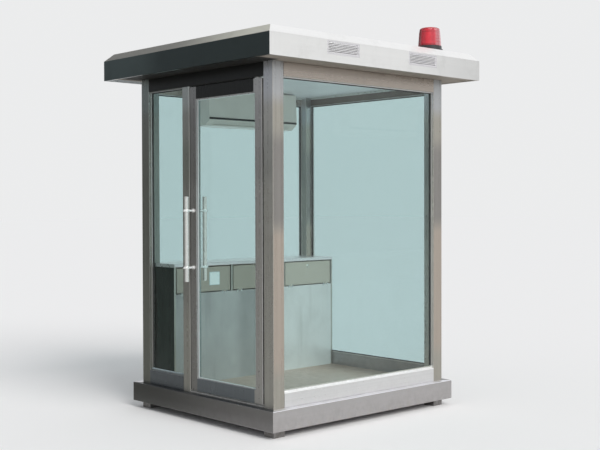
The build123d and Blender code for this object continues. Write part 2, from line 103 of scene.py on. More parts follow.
class BoothColours(bpy.types.PropertyGroup):
    """Colours of the booth's finishes."""

    upright: colour("Posts", "Brushed steel of the posts", (0.45, 0.43, 0.38))
    # Painted reflection: the rails are set paler than the posts' steel, as their level grain shows the sky.
    rail: colour("Rails", "Brushed steel of the bottom rails", (0.69, 0.69, 0.69))
    header: colour("Headers", "Brushed steel of the headers", (0.44, 0.39, 0.345))
    leaf: colour("Door frame", "Brushed steel of the door's stiles", (0.62, 0.61, 0.60))
    # Painted shade: a dark colour for the low door rail, standing for the shaded ground that it reflects.
    leaf_low_painted_shade: colour("Door rail", "Scuffed steel low on the door", (0.27, 0.30, 0.335))
    # Painted shade: near-black for the front header and the door's top rail, which sit in the roof's shade.
    head: colour("Door head", "Dark steel of the front header and the door's top rail", (0.050, 0.051, 0.050))
    plinth: colour("Plinth", "Brushed steel of the plinth", (0.44, 0.425, 0.425))
    grime: colour("Grime", "Dust and scuffs near the ground", (0.16, 0.15, 0.135))
    roof: colour("Roof", "Fine brushed sheet of the roof", (0.84, 0.84, 0.83))
    # Painted reflection: the roof's front is near-black, for the dark surroundings that it reflects.
    fascia_painted_reflection: colour("Front fascia", "Dark sheen of the roof's front", (0.068, 0.085, 0.082))
    soffit: colour("Soffit", "Sheet under the roof", (0.30, 0.265, 0.23))
    ceiling: colour("Ceiling", "Painted panel over the room", (0.90, 0.88, 0.92))
    floor: colour("Floor sheet", "Worn metal floor", (0.64, 0.50, 0.43))
    pane: colour("Glass", "What a pane lets through", (0.70, 0.82, 0.82))
    rubber: colour("Rubber", "Gaskets and seals", (0.022, 0.024, 0.024))
    bead: colour("Beads", "Satin aluminium of the beads", (0.56, 0.56, 0.545))
    grille: colour("Grilles", "Satin sheet of the louvres", (0.97, 0.96, 1.0))
    desk: colour("Desk", "Brushed steel of the desk", (0.475, 0.42, 0.36))
    desk_panel: colour("Desk panel", "Pale sheet under the flaps", (0.46, 0.445, 0.445))
    # Painted shade: near-black for the desk's end that faces the door.
    desk_end_painted_shade: colour("Desk ends", "Dark steel of the desk's ends", (0.032, 0.052, 0.046))
    casing: colour("Casing", "Moulded casing of the air conditioner", (0.82, 0.77, 0.72))
    lens: colour("Lens", "Red lens of the beacon", (0.95, 0.03, 0.06))
    # Painted shade: the lens's colour where it turns away from view.
    lens_rim_painted_shade: colour("Lens rim", "The lens where it turns away", (0.22, 0.004, 0.012))
    base: colour("Beacon base", "Black moulded base", (0.03, 0.03, 0.034))
    polished: colour("Polished steel", "Door handles", (0.70, 0.71, 0.69))
    card: colour("Card", "Plain pale blue card", (0.91, 0.98, 1.0))


def mm(*points):
    """Points of a section that is written in millimetres, in metres."""
    return tuple((first * MM, second * MM) for first, second in points)


def rgba(value):
    """A colour with the full alpha that Blender's sockets want."""
    return (*value[:3], 1.0)


def tinted(value, share):
    """A colour made lighter or darker by a share."""
    return tuple(min(channel * share, 1.0) for channel in value[:3])


def emptied(owner):
    """The builder of the nodes of a material or world, which is cleared first."""
    owner.use_nodes = True
    owner.node_tree.nodes.clear()
    return Shades(owner.node_tree)


class Shades:
    """Builds one node tree. A value is plain, or another node's output."""

    def __init__(self, tree):
        self.tree = tree

    def feed(self, node, values):
        """Gives a node's inputs their values."""
        for key, value in values.items():
            if isinstance(value, bpy.types.NodeSocket):
                self.tree.links.new(value, node.inputs[key])
            else:
                node.inputs[key].default_value = value
        return node

    def node(self, kind, values=None, **settings):
        made = self.tree.nodes.new(f"ShaderNode{kind}")
        for name, setting in settings.items():
            setattr(made, name, setting)
        return self.feed(made, values or {})

    def calc(self, operation, *values, clamp=False):
        """A sum on numbers."""
        return self.node("Math", dict(enumerate(values)), operation=operation, use_clamp=clamp).outputs[0]

    def times(self, first, second):
        return self.calc("MULTIPLY", first, second)

    def times_plus(self, first, second, third):
        """The first value times the second, plus the third."""
        return self.calc("MULTIPLY_ADD", first, second, third)

    def vector(self, operation, values, output=0):
        """A sum on points or directions."""
        return self.node("VectorMath", values, operation=operation).outputs[output]

    def mix(self, share, first, second, blend="MIX"):
        """From the first colour to the second, or to what the blend makes of both."""
        values = {0: share, 6: first, 7: second}
        return self.node("Mix", values, data_type="RGBA", blend_type=blend).outputs[2]

    def varied(self, grain, tone, by):
        """A colour that the grain makes a little darker or lighter."""
        return self.mix(grain, rgba(tinted(tone, 1 - by)), rgba(tinted(tone, 1 + by)))

    def spread(self, value, low, high):
        """0 at low and 1 at high, with soft ends."""
        values = {"Value": value, "From Min": low, "From Max": high}
        return self.node("MapRange", values, interpolation_type="SMOOTHSTEP").outputs[0]

    def place(self, stretch=None):
        """Where a point is on the piece, stretched by cells per metre."""
        point = self.node("TexCoord").outputs["Object"]
        if stretch is None:
            return point
        return self.vector("MULTIPLY", {0: point, 1: stretch})

    def height(self):
        """How high a point is on the piece."""
        return self.node("SeparateXYZ", {0: self.place()}).outputs["Z"]

    def noise(self, point, scale=1.0, detail=2.0, roughness=0.5):
        values = {"Vector": point, "Scale": scale, "Detail": detail, "Roughness": roughness}
        return self.node("TexNoise", values).outputs[0]

    def effect(self, name, **values):
        """One of the shared effects, with this material's own values."""
        return self.node("Group", values, node_tree=bpy.data.node_groups[name]).outputs

    def mask(self, name, **values):
        return self.effect(name, **values)["Mask"]

    def bump(self, height, strength, distance=2 * MM):
        values = {"Height": height, "Strength": strength, "Distance": distance}
        return self.node("Bump", values).outputs[0]


EFFECTS = []


def shared_effect(name, **inputs):
    """Lists the maker of a node group with these inputs. The maker gives what the group puts out."""

    def listed(maker):
        EFFECTS.append((name, inputs, maker))
        return maker

    return listed


def make_effects():
    """Builds every shared effect once."""
    for name, inputs, maker in EFFECTS:
        tree = bpy.data.node_groups.new(name, "ShaderNodeTree")
        for label, default in inputs.items():
            kind = "NodeSocketFloat" if isinstance(default, float) else "NodeSocketVector"
            tree.interface.new_socket(label, in_out="INPUT", socket_type=kind).default_value = default
        shades = Shades(tree)
        results = maker(shades, tree.nodes.new("NodeGroupInput").outputs)
        for label in results:
            tree.interface.new_socket(label, in_out="OUTPUT", socket_type="NodeSocketFloat")
        shades.feed(tree.nodes.new("NodeGroupOutput"), results)


@shared_effect("Brushed grain", Stretch=(6.0, 6.0, 600.0))
def brushed_grain(shades, given):
    """Hairlines along the piece, and the broader bands that they gather into."""
    fine_point = shades.place(given["Stretch"])
    broad_point = shades.vector("SCALE", {0: fine_point, "Scale": 0.11})
    fine = shades.noise(fine_point, detail=3.0, roughness=0.7)
    broad = shades.noise(broad_point)
    both = shades.calc("ADD", shades.times(fine, 0.4), shades.times(broad, 0.6))
    return {"Tone": shades.spread(both, 0.33, 0.67), "Height": fine}


@shared_effect("Handling marks", Scale=7.0, Low=0.5, High=0.75)
def handling_marks(shades, given):
    """Soft patches where hands and cloths have dulled the metal."""
    cloud = shades.noise(shades.place(), given["Scale"], detail=4.0, roughness=0.6)
    return {"Mask": shades.spread(cloud, given["Low"], given["High"])}


@shared_effect("Water runs", Spread=22.0, Low=0.52, High=0.72)
def water_runs(shades, given):
    """Dried runs of rain, narrow and upright."""
    stretch = shades.node("CombineXYZ", {0: given["Spread"], 1: given["Spread"], 2: 0.9}).outputs[0]
    cloud = shades.noise(shades.place(stretch), detail=3.0, roughness=0.6)
    return {"Mask": shades.spread(cloud, given["Low"], given["High"])}


@shared_effect("Ground grime", Reach=0.4, Scale=18.0)
def ground_grime(shades, given):
    """Dust and splashes, thick at the ground and gone at the given height."""
    share = shades.calc("SUBTRACT", 1.0, shades.spread(shades.height(), 0.0, given["Reach"]))
    cloud = shades.noise(shades.place(), given["Scale"], detail=5.0, roughness=0.65)
    return {"Mask": shades.times(share, shades.spread(cloud, 0.35, 0.7))}


@shared_effect("Band", Axis=(0.0, 0.0, 1.0), From=0.0, To=1.0, Softness=0.002)
def band(shades, given):
    """1 between two places along an axis, with edges as soft as asked."""
    along = shades.vector("DOT_PRODUCT", {0: shades.place(), 1: given["Axis"]}, "Value")
    low_end = shades.calc("ADD", given["From"], given["Softness"])
    high_end = shades.calc("ADD", given["To"], given["Softness"])
    above = shades.spread(along, given["From"], low_end)
    beyond = shades.spread(along, given["To"], high_end)
    return {"Mask": shades.calc("SUBTRACT", above, beyond)}


@shared_effect("Facing", Direction=(0.0, 0.0, 1.0))
def facing_way(shades, given):
    """1 on what faces one way."""
    normal = shades.node("NewGeometry").outputs["Normal"]
    share = shades.vector("DOT_PRODUCT", {0: normal, 1: given["Direction"]}, "Value")
    return {"Mask": shades.spread(share, 0.8, 0.95)}


@shared_effect("Settled dust", Scale=9.0, Amount=0.5)
def settled_dust(shades, given):
    """Dust on what faces up, in soft drifts."""
    upward = shades.node("SeparateXYZ", {0: shades.node("NewGeometry").outputs["Normal"]}).outputs["Z"]
    cloud = shades.noise(shades.place(), given["Scale"], detail=5.0, roughness=0.6)
    lying = shades.times(shades.spread(upward, 0.6, 0.95), shades.spread(cloud, 0.2, 0.8))
    return {"Mask": shades.times(lying, given["Amount"])}


@shared_effect("Sheet ripple", Scale=2.5)
def sheet_ripple(shades, given):
    """The slow waves of thin sheet that is fixed at its folds."""
    return {"Height": shades.noise(shades.place(), given["Scale"], detail=1.0)}


@shared_effect("Moulded skin", Scale=900.0)
def moulded_skin(shades, given):
    """The fine pebbled skin of paint, rubber and moulded plastic."""
    pebble = shades.noise(shades.place(), given["Scale"])
    return {"Height": pebble, "Tone": shades.noise(shades.place(), 6.0, detail=4.0, roughness=0.6)}


def between(axis, start, end, softness=3 * MM):
    """Part of a zone: what lies between two places along an axis."""
    return "Band", {"Axis": tuple(axis), "From": start, "To": end, "Softness": softness}


def facing(direction):
    """Part of a zone: what faces one way."""
    return "Facing", {"Direction": tuple(direction)}


def zoned(shades, colours, zones, grain, by):
    """Lays zones over colours: each is another colour and the masks that it lies in."""
    for other, *masks in zones:
        share = 1.0
        for effect, values in masks:
            share = shades.times(shades.mask(effect, **values), share)
        colours = shades.mix(share, colours, shades.varied(grain, other, by))
    return colours


def new_finish(name):
    """An empty material with its shader. Gives the material, its builder and the shader."""
    material = bpy.data.materials.new(name)
    shades = emptied(material)
    shader = shades.node("BsdfPrincipled")
    shades.node("OutputMaterial", {"Surface": shader.outputs[0]})
    return material, shades, shader


def brushed_steel(
    name, tone, along, *nodes, level=False, bands=0.05, zones=(), metallic=0.85, roughness=0.30,
    sheen=0.10, fine=520.0, relief=0.06, ripple=0.0, runs=0.12, patches=0.0, mark_scale=6.0,
    grime=0.35, reach=0.55, dust=0.25,
):
    """Brushed stainless for CAD nodes: grain along the piece, dulled patches, rain runs and grime low down.

    Level grain runs in level lines on every side."""
    material, shades, shader = new_finish(name)
    lengthwise = 5.0
    stretch = tuple(lengthwise if along[i] else fine for i in range(3))
    if level:
        stretch = (lengthwise, lengthwise, fine)
    grain = shades.effect("Brushed grain", Stretch=stretch)
    marks = shades.mask("Handling marks", Scale=mark_scale)
    wet = shades.mask("Water runs", Spread=26.0)
    dirt = shades.mask("Ground grime", Reach=reach)
    settled = shades.mask("Settled dust", Amount=dust)
    colours = zoned(shades, shades.varied(grain["Tone"], tone, bands), zones, grain["Tone"], bands)
    colours = shades.mix(shades.times(wet, runs), colours, DULLED, blend="MULTIPLY")
    if patches:
        colours = shades.mix(shades.times(marks, patches), colours, DULLED, blend="MULTIPLY")
    colours = shades.mix(shades.times(dirt, grime), colours, rgba(bpy.context.scene.booth_colours.grime))
    rough = shades.times_plus(grain["Tone"], sheen, roughness - sheen / 2)
    rough = shades.times_plus(marks, 0.12, rough)
    rough = shades.calc("MULTIPLY_ADD", shades.calc("ADD", dirt, settled), 0.22, rough, clamp=True)
    height = shades.times(grain["Height"], relief)
    if ripple:
        height = shades.times_plus(shades.effect("Sheet ripple", Scale=2.6)["Height"], ripple, height)
    values = {
        "Base Color": shades.mix(settled, colours, (0.56, 0.54, 0.5, 1)),
        "Roughness": rough,
        "Metallic": metallic,
        "Normal": shades.bump(height, 0.5),
    }
    shades.feed(shader, values)
    return dress(material, *nodes)


def painted_sheet(
    name, tone, *nodes, metallic=0.0, roughness=0.45, ripple=1.0, streaks=0.12, shine=0.5, zones=()
):
    """Smooth painted or coated sheet with a faint pebble, slow waves and cleaning marks."""
    material, shades, shader = new_finish(name)
    skin = shades.effect("Moulded skin", Scale=700.0)
    marks = shades.mask("Handling marks", Scale=4.0, Low=0.42, High=0.7)
    runs = shades.mask("Water runs", Spread=14.0)
    worn = shades.calc("ADD", shades.times(marks, streaks), shades.times(runs, streaks))
    colours = shades.mix(skin["Tone"], rgba(tinted(tone, 0.93)), rgba(tinted(tone, 1.06)))
    colours = zoned(shades, colours, zones, skin["Tone"], 0.06)
    wave = shades.effect("Sheet ripple", Scale=3.0)["Height"]
    height = shades.times_plus(wave, ripple, shades.times(skin["Height"], 0.02))
    values = {
        "Base Color": shades.mix(worn, colours, (0.66, 0.66, 0.66, 1), blend="MULTIPLY"),
        "Roughness": shades.times_plus(marks, 0.14, roughness),
        "Metallic": metallic,
        "Specular IOR Level": shine,
        "Normal": shades.bump(height, 0.35),
    }
    shades.feed(shader, values)
    return dress(material, *nodes)


def moulded(name, tone, *nodes, roughness=0.5, coat=0.0, pebble=0.05, dusty=0.15, zones=()):
    """Moulded plastic or rubber with a pebbled skin and dust in its texture."""
    material, shades, shader = new_finish(name)
    skin = shades.effect("Moulded skin", Scale=900.0)
    dust = shades.mask("Settled dust", Amount=dusty)
    colours = zoned(shades, shades.varied(skin["Tone"], tone, 0.14), zones, skin["Tone"], 0.04)
    values = {
        "Base Color": shades.mix(dust, colours, (0.5, 0.48, 0.45, 1)),
        "Roughness": shades.times_plus(skin["Tone"], 0.12, roughness - 0.06),
        "Coat Weight": coat,
        "Normal": shades.bump(skin["Height"], pebble, MM),
    }
    shades.feed(shader, values)
    return dress(material, *nodes)


def window_glass(name, tone, *nodes, film=0.035):
    """A thin pane: it tints what is behind it, mirrors by Fresnel and carries a faint film of dust.

    Light on its way in loses less than a view through the pane."""
    material, shades, shader = new_finish(name)
    marks = shades.mask("Handling marks", Scale=3.0, Low=0.4, High=0.8)
    runs = shades.mask("Water runs", Spread=16.0, Low=0.5, High=0.8)
    dirt = shades.mask("Ground grime", Reach=0.75, Scale=14.0)
    behind = shades.node("NewGeometry").outputs["Backfacing"]
    in_front = shades.calc("SUBTRACT", 1.0, behind)
    viewed = shades.node("LightPath").outputs["Is Camera Ray"]
    tints = shades.mix(viewed, rgba(tinted(tone, 1.12)), rgba(tone))
    clear = shades.node("BsdfTransparent", {"Color": shades.mix(behind, tints, WHITE)}).outputs[0]
    mirror = shades.node("BsdfGlossy", {"Color": WHITE, "Roughness": 0.015}).outputs[0]
    mirrored = shades.times(shades.node("Fresnel", {"IOR": 1.45}).outputs[0], in_front)
    pane = shades.node("MixShader", {0: mirrored, 1: clear, 2: mirror}).outputs[0]
    wiped, dusty = (0.62, 0.68, 0.66, 1), (0.5, 0.56, 0.55, 1)
    values = {"Base Color": shades.mix(marks, wiped, dusty), "Roughness": shades.times_plus(runs, 0.2, 0.4)}
    shades.feed(shader, values)
    haze = shades.calc("ADD", shades.times(marks, 0.5), shades.times(runs, 0.5))
    haze = shades.times(shades.times(shades.times_plus(dirt, 1.6, haze), film), in_front)
    both = shades.node("MixShader", {0: haze, 1: pane, 2: shader.outputs[0]}).outputs[0]
    shades.feed(shades.tree.nodes["Material Output"], {"Surface": both})
    return dress(material, *nodes)


def dress(material, *names):
    """Gives CAD nodes their finish, and gives it back."""
    for name in names:
        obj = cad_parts[name]
        if not obj.material_slots:
            obj.data.materials.append(material)
        for slot in obj.material_slots:
            slot.material = material
    return material


def add_object(name, data):
    """An object in the scene that holds the data."""
    obj = bpy.data.objects.new(name, data)
    bpy.context.scene.collection.objects.link(obj)
    return obj


class Side:
    """A plane that fittings sit on. A point on it is so far across, up and out."""

    def __init__(self, origin, across, up=Z):
        self.origin = Vector(origin)
        self.across = Vector(across).normalized()
        self.up = Vector(up).normalized()
        self.out = self.across.cross(self.up)

    def at(self, across, up, out=0.0):
        return self.origin + self.across * across + self.up * up + self.out * out

    def around(self, middle, radius, turn, out):
        """A point on a circle."""
        return self.at(middle[0] + radius * math.cos(turn), middle[1] + radius * math.sin(turn), out)


class Form:
    """A mesh in the making, from outlines joined one after another."""

    def __init__(self):
        self.mesh = bmesh.new()

    def loft(self, outlines, closed=False):
        """Joins like outlines into a skin. Closed runs back to the first; otherwise both ends are capped."""
        rows = [[self.mesh.verts.new(point) for point in outline] for outline in outlines]
        pairs = list(zip(rows, rows[1:]))
        if closed:
            pairs.append((rows[-1], rows[0]))
        for low, high in pairs:
            for i in range(len(low)):
                j = (i + 1) % len(low)
                self.mesh.faces.new((low[i], low[j], high[j], high[i]))
        if not closed:
            self.mesh.faces.new(rows[0])
            self.mesh.faces.new(rows[-1])
        return self

    def ring(self, side, box, profile):
        """A mitred frame inside a rectangle. The profile's points are so far inwards and out."""
        left, right, bottom, top = box
        corners = ((left, 1, bottom, 1), (right, -1, bottom, 1), (right, -1, top, -1), (left, 1, top, -1))
        outlines = []
        for a, in_a, u, in_u in corners:
            outlines.append([side.at(a + in_a * inner, u + in_u * inner, out) for inner, out in profile])
        return self.loft(outlines, closed=True)

    def bar(self, side, start, end, profile):
        """A straight length across a side. The profile's points are up and out."""
        return self.loft([[side.at(a, up, out) for up, out in profile] for a in (start, end)])

    def strip(self, side, start, end, section):
        """A straight length up a side. The section's points are across and out."""
        return self.loft([[side.at(a, up, out) for a, out in section] for up in (start, end)])

    def plate(self, side, middle, size, corner, thickness, edge, steps=5):
        """A plate with round corners and a softened edge."""
        outlines = []
        half_a, half_u, soft = size[0] / 2 - corner, size[1] / 2 - corner, 0.3 * edge
        for inset, out in ((0, 0), (0, thickness - edge), (soft, thickness - soft), (edge, thickness)):
            outline = []
            radius = max(corner - inset, 0.1 * MM)
            for quarter, (a, u) in enumerate(((1, 1), (-1, 1), (-1, -1), (1, -1))):
                centre = (middle[0] + a * half_a, middle[1] + u * half_u)
                for i in range(steps + 1):
                    outline.append(side.around(centre, radius, math.radians(90 * (quarter + i / steps)), out))
            outlines.append(outline)
        return self.loft(outlines)

    def turned(self, side, middle, profile, steps, flute=0.0):
        """A turned form about a line straight out of a side. The profile's points are radius and out."""
        outlines = []
        for radius, out in profile:
            grooved, least = flute * (radius > 20 * flute), 0.02 * MM
            radii = [max(radius - grooved * (i % 2), least) for i in range(steps)]
            outlines.append([side.around(middle, r, math.tau * i / steps, out) for i, r in enumerate(radii)])
        return self.loft(outlines)

    def piece(self, name, material, body="booth", slot=None, smooth=None):
        """Makes the piece, which rides on a body. Edges sharper than smooth, in degrees, stay sharp."""
        bmesh.ops.remove_doubles(self.mesh, verts=self.mesh.verts, dist=1e-6)
        bmesh.ops.recalc_face_normals(self.mesh, faces=self.mesh.faces)
        if smooth:
            limit = math.radians(smooth)
            for face in self.mesh.faces:
                face.smooth = True
            for edge in self.mesh.edges:
                edge.smooth = edge.calc_face_angle(0.0) < limit
        mesh = bpy.data.meshes.new(name)
        self.mesh.to_mesh(mesh)
        self.mesh.free()
        mesh.materials.append(material)
        obj = add_object(name, mesh)
        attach(obj, body)
        return obj


def face_of(node, out):
    """The side of a node that looks one way, the node's rectangle on it and its depth behind it."""
    low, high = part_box(node)
    across = Z.cross(out)
    start, end = sorted((low.dot(across), high.dot(across)))
    back, front = sorted((low.dot(out), high.dot(out)))
    return Side(out * front, across), (start, end, low[2], high[2]), front - back


def shrunk(box, by):
    """A rectangle drawn in on all four sides."""
    return (box[0] + by, box[1] - by, box[2] + by, box[3] - by)


def lip(width, height):
    """Section of a rubber lip that lies on glass."""
    back = -0.5 * MM
    crown = ((width * 0.2, height), (width * 0.55, height * 0.9), (width * 0.9, height * 0.45))
    return ((back, 0), (back, height * 0.86), *crown, (width, 0.3 * MM), (width, 0))


class BOOTH_OT_stage(bpy.types.Operator):
    """Lay the pale floor and set the soft lamp, the world, the dark card and the camera"""

    bl_idname = "booth.stage"
    bl_label = "Stage"

    def execute(self, context):
        context.scene.view_settings.view_transform = "Standard"
        self.world(context.scene)
        self.floor()
        self.lamp()
        self.dark_card()
        self.camera(context.scene)
        return {"FINISHED"}

    def seen(self, shades):
        """1 for what the camera sees, and what metal and glass show of it."""
        path = shades.node("LightPath").outputs
        seen = shades.calc("ADD", path["Is Camera Ray"], path["Is Glossy Ray"])
        return shades.calc("ADD", seen, path["Is Transmission Ray"], clamp=True)

    def world(self, scene):
        world = bpy.data.worlds.new("studio")
        shades = emptied(world)
        ambient = shades.node("Background", {"Color": (0.95, 0.98, 1.0, 1), "Strength": 0.52}).outputs[0]
        backdrop = shades.node("Background", {"Color": (0.835, 0.84, 0.845, 1), "Strength": 1.0}).outputs[0]
        both = shades.node("MixShader", {0: self.seen(shades), 1: ambient, 2: backdrop}).outputs[0]
        shades.node("OutputWorld", {"Surface": both})
        scene.world = world

    def floor(self):
        reach, lit, seen = 90.0, (0.80, 0.79, 0.77, 1), (0.922, 0.916, 0.926, 1)
        mesh = bpy.data.meshes.new("studio_floor")
        corners = [(-reach, -reach, 0), (reach, -reach, 0), (reach, reach, 0), (-reach, reach, 0)]
        mesh.from_pydata(corners, [], [(0, 1, 2, 3)])
        material, shades, shader = new_finish("studio_floor")
        colours = shades.mix(self.seen(shades), lit, seen)
        shades.feed(shader, {"Base Color": colours, "Roughness": 1.0, "Specular IOR Level": 0.0})
        mesh.materials.append(material)
        add_object("studio_floor", mesh)

    def lamp(self):
        """A wide soft lamp on the large window's side."""
        height, swing = math.radians(38), math.radians(-6)
        level = math.cos(height)
        towards = Vector((level * math.cos(swing), level * math.sin(swing), math.sin(height)))
        lamp = bpy.data.lights.new("soft_lamp", "SUN")
        lamp.energy = 2.1
        lamp.angle = math.radians(34)
        lamp.color = (1.0, 0.985, 0.955)
        add_object("soft_lamp", lamp).rotation_euler = towards.to_track_quat("Z", "Y").to_euler()

    def dark_card(self):
        """A tall dark card on the door's side and its foot on the floor, which only reflections show."""
        mesh = bpy.data.meshes.new("dark_card")
        radius, base, top, steps, start, swing = 9.0, MM, 14.0, 24, 172, 96
        foot_x, foot_y = cad_box[1][0], cad_box[0][1]
        points, faces = [], []
        for i in range(steps + 1):
            turn = math.radians(start + swing * i / steps)
            edge_x, edge_y = radius * math.cos(turn), radius * math.sin(turn)
            points += [(edge_x, min(edge_y, foot_y), base), (edge_x, edge_y, top)]
        points += [(foot_x, -radius, base), (foot_x, foot_y, base)]
        corner = len(points) - 1
        for i in range(0, 2 * steps, 2):
            faces += [(i, i + 2, i + 3, i + 1), (i, i + 2, corner)]
        faces.append((2 * steps, corner - 1, corner))
        mesh.from_pydata(points, [], faces)
        material = bpy.data.materials.new("dark_card")
        shades = emptied(material)
        height = shades.height()
        tones = shades.mix(shades.spread(height, 0.0, 1.4), (0.235, 0.235, 0.22, 1), (0.155, 0.155, 0.145, 1))
        tones = shades.mix(shades.spread(height, 2.0, 3.6), tones, (0.30, 0.32, 0.35, 1))
        tones = shades.mix(shades.spread(height, 4.5, 7.0), tones, (0.25, 0.25, 0.25, 1))
        glow = shades.node("Emission", {"Color": tones, "Strength": 1.0}).outputs[0]
        shades.node("OutputMaterial", {"Surface": glow})
        mesh.materials.append(material)
        card = add_object("dark_card", mesh)
        for ray in ("camera", "diffuse", "shadow", "transmission"):
            setattr(card, f"visible_{ray}", False)

    def camera(self, scene):
        """The photograph's viewpoint: at eye height, off the corner between door and large window."""
        eye = (5.846, -5.310, 1.528)
        yaw, pitch, roll = math.radians(-47.335), math.radians(-1.140), math.radians(-0.161)
        level, ahead = math.cos(pitch), math.sin(pitch)
        forward = Vector((math.sin(yaw) * level, math.cos(yaw) * level, ahead))
        across = Vector((math.cos(yaw), -math.sin(yaw), 0))
        right = across * math.cos(roll) + across.cross(forward) * math.sin(roll)
        turn = Matrix((right, right.cross(forward), -forward)).transposed().to_4x4()
        camera = bpy.data.cameras.new("camera")
        camera.sensor_width = 36.0
        camera.lens = 62.606
        scene.camera = add_object("camera", camera)
        scene.camera.matrix_world = Matrix.Translation(eye) @ turn


class BOOTH_OT_steelwork(bpy.types.Operator):
    """Finish the posts, rails, headers, mullion and threshold in brushed steel"""

    bl_idname = "booth.steelwork"
    bl_label = "Steelwork"

    def execute(self, context):
        colours = context.scene.booth_colours
        self.uprights(colours)
        nodes, look = ("header_right", "header_left"), {"bands": 0.04, "relief": 0.025}
        brushed_steel("header_steel_y", colours.header, Y, *nodes, **look)
        look = {"bands": 0.06, "relief": 0.02, "sheen": 0.04}
        # Painted shade: the front header takes the near-black head colour.
        brushed_steel("header_steel_front_shaded", colours.head, X, "header_front", **look)
        # Painted shade: the back header is a darker copy of the headers' steel.
        brushed_steel("header_steel_back_shaded", tinted(colours.header, 0.5), X, "header_back", bands=0.1)
        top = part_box("rail_right")[1][2]
        look = {"bands": 0.03, "grime": 0.06, "runs": 0.03, "dust": 0.3}
        # Painted highlight: a near-white line along the top edge of the side rails.
        look["zones"] = [((0.98, 0.99, 1.0), between(Z, top - 7 * MM, top + 1, MM))]
        brushed_steel("rail_steel_y", colours.rail, Y, "rail_right", "rail_left", **look)
        # Painted shade: the sidelight's rail is a darker copy of the low door rail.
        brushed_steel("rail_steel_x_shaded", tinted(colours.leaf_low_painted_shade, 0.8), X, "rail_sidelight", dust=0.4)
        # Painted shade: the back rail is a darker copy of the rails' steel.
        brushed_steel("rail_steel_back_shaded", tinted(colours.rail, 0.53), X, "rail_back", dust=0.5)
        brushed_steel("threshold_steel", colours.rail, X, "threshold", grime=0.5, dust=0.3)
        return {"FINISHED"}

    def uprights(self, colours):
        """Posts and mullion, with painted reflections: their tone changes with height and with the side that
        faces.
        """
        look = {"bands": 0.06, "grime": 0.1, "fine": 320.0, "relief": 0.03}
        foot, low = between(Z, -1.0, 0.7, 0.2), between(Z, 0.35, 1.30, 0.15)
        dim, upper = between(Z, 1.30, 1.90, 0.15), between(Z, 1.60, 1.90, 0.15)
        top = between(Z, 2.15, 4.0, 0.12)
        right, front = facing(X), facing(-Y)
        warm, dark, pale = (0.43, 0.375, 0.322), (0.272, 0.26, 0.246), (0.435, 0.445, 0.453)
        bright, bright_upper, bright_top = (0.62, 0.61, 0.575), (0.53, 0.53, 0.505), (0.73, 0.74, 0.77)
        # Painted reflections: the right faces darker, warm low down, dark in the middle band and pale at the
        # top; the front faces pale, dimmer above 1.6 m and palest at the top.
        zones = (
            (tinted(colours.upright, 0.84), right),
            (warm, right, low),
            (dark, right, dim),
            (pale, right, top),
            (bright, front),
            (bright_upper, front, upper),
            (bright_top, front, top),
        )
        posts = ("post_front_right", "post_back_right", "post_back_left")
        brushed_steel("post_steel", colours.upright, Z, *posts, zones=zones, **look)
        # Painted shade: the front left post is a dark copy of the post steel, a little paler at the top.
        left, zones = (0.265, 0.272, 0.25), [((0.30, 0.335, 0.32), top)]
        brushed_steel("post_steel_left_shaded", left, Z, "post_front_left", zones=zones, **look)
        # Painted reflections on the mullion: paler low down and at the top, darker above 1.6 m.
        mullion = (0.42, 0.42, 0.395)
        zones = (((0.50, 0.495, 0.46), foot), ((0.35, 0.365, 0.33), upper), ((0.54, 0.57, 0.555), top))
        brushed_steel("mullion_steel", mullion, Z, "mullion", zones=zones, **look)


class BOOTH_OT_base(bpy.types.Operator):
    """Finish the plinth, feet, joists and floor"""

    bl_idname = "booth.base"
    bl_label = "Plinth and floor"

    def execute(self, context):
        colours = context.scene.booth_colours
        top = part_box("plinth_right")[1][2]
        look = {"bands": 0.03, "grime": 0.22, "reach": 0.24, "runs": 0.05, "roughness": 0.36}
        look["mark_scale"] = 2.5
        # Painted highlight: a pale line along the top edge of the side plinths.
        edge = ((0.85, 0.85, 0.9), between(Z, top - 4 * MM, top + 1, MM))
        nodes = ("plinth_right", "plinth_left")
        brushed_steel("plinth_steel_y", colours.plinth, Y, *nodes, dust=0.3, zones=[edge], **look)
        # Painted shade: the front and back plinths are a dark copy of the plinth steel, paler towards the
        # right end, with the top ledge darkest.
        near = ((0.34, 0.33, 0.335), between(X, -0.7, 2.0, 1.6))
        ledge_painted_shade = ((0.08, 0.085, 0.09), facing(Z))
        look.update(dust=0.0, zones=(near, ledge_painted_shade))
        nodes = ("plinth_front", "plinth_back")
        brushed_steel("plinth_steel_x_shaded", (0.12, 0.122, 0.118), X, *nodes, **look)
        # Painted shade under the plinth: the feet are a darker copy of its steel; heavy grime as well.
        brushed_steel("foot_steel", tinted(colours.plinth, 0.6), Z, "feet", grime=0.9)
        brushed_steel("joist_steel", (0.45, 0.46, 0.47), X, "floor_joists", dust=0.6)
        warm = ((0.57, 0.41, 0.33), between(Y, 0.2, 2.0, 0.4))
        far = ((0.38, 0.275, 0.22), between(Y, 0.5, 2.0, 0.25))
        look = {"bands": 0.08, "metallic": 0.45, "roughness": 0.42, "dust": 0.18, "grime": 0.15}
        brushed_steel("floor_sheet", colours.floor, X, "floor_plate", zones=(warm, far), **look)
        return {"FINISHED"}


